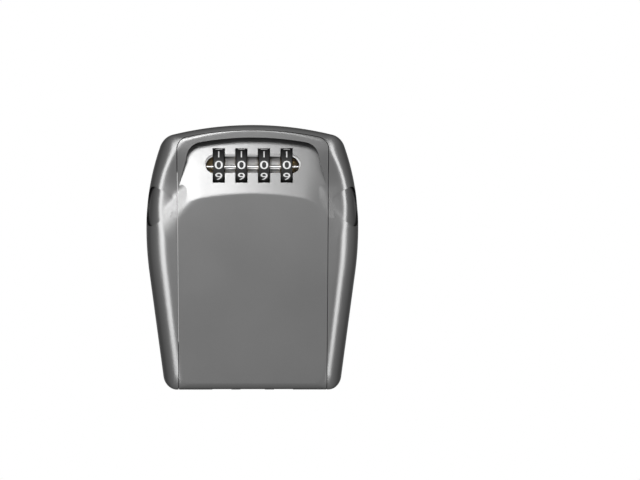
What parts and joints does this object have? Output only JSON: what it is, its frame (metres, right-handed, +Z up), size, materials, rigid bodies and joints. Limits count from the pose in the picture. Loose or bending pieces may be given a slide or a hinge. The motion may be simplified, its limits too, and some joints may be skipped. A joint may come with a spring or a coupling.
{
  "type": "key lock box",
  "caption": "Wall-mounted key lock box with an arched cast housing, a ribbed lock door with number dials, and an outer front shell that flips down.",
  "frame": {"origin": "middle of the back face that lies on the wall, at half the height", "axes": "+Z up, +X to the viewer's right, the front faces -Y, the wall is the plane Y = 0"},
  "size_m": [0.105, 0.046, 0.13],
  "materials": {
    "cast_body": "satin",
    "cast_door": "satin",
    "steel": "brushed",
    "cover": "satin",
    "black_screw": "blackened",
    "brass": "satin",
    "dial_black": "satin",
    "digit_white": "matte"
  },
  "bodies": {
    "housing": {"housing": "cast_body", "hinge_pin": "steel"},
    "lock_door": {"lock_door": "cast_door", "mechanism_cover": "cover", "cover_screws": "black_screw", "dial_axle": "steel", "detent_leaf": "brass", "lever_pivot": "steel", "shell_catches": "steel"},
    "front_shell": {"front_shell": "cast_body"},
    "latch": {"latch_bar": "steel"},
    "code_lever": {"code_lever": "steel"},
    "dial_1": {"dial_1": "dial_black", "code_hub_1": "brass"},
    "dial_2": {"dial_2": "dial_black", "code_hub_2": "brass"},
    "dial_3": {"dial_3": "dial_black", "code_hub_3": "brass"},
    "dial_4": {"dial_4": "dial_black", "code_hub_4": "brass"}
  },
  "joints": [
    {"name": "lock_door_hinge", "type": "hinge", "parent": "housing", "child": "lock_door", "pos_m": [0, -0.0395, -0.0603], "axis": [1, 0, 0], "range_deg": [0, 105]},
    {"name": "front_shell_hinge", "type": "hinge", "parent": "lock_door", "child": "front_shell", "pos_m": [0, -0.0395, -0.0603], "axis": [1, 0, 0], "range_deg": [0, 68]},
    {"name": "latch_slide", "type": "slide", "parent": "lock_door", "child": "latch", "axis": [0, 0, 1], "range_m": [0, 0.005]},
    {"name": "code_lever_turn", "type": "hinge", "parent": "lock_door", "child": "code_lever", "pos_m": [-0.014, -0.0169, 0.027], "axis": [0, -1, 0], "range_deg": [0, 90]},
    {"name": "dial_1_spin", "type": "hinge", "parent": "lock_door", "child": "dial_1", "pos_m": [-0.01665, -0.0365, 0.0445], "axis": [1, 0, 0], "continuous": true},
    {"name": "dial_2_spin", "type": "hinge", "parent": "lock_door", "child": "dial_2", "pos_m": [-0.00555, -0.0365, 0.0445], "axis": [1, 0, 0], "continuous": true},
    {"name": "dial_3_spin", "type": "hinge", "parent": "lock_door", "child": "dial_3", "pos_m": [0.00555, -0.0365, 0.0445], "axis": [1, 0, 0], "continuous": true},
    {"name": "dial_4_spin", "type": "hinge", "parent": "lock_door", "child": "dial_4", "pos_m": [0.01665, -0.0365, 0.0445], "axis": [1, 0, 0], "continuous": true}
  ]
}
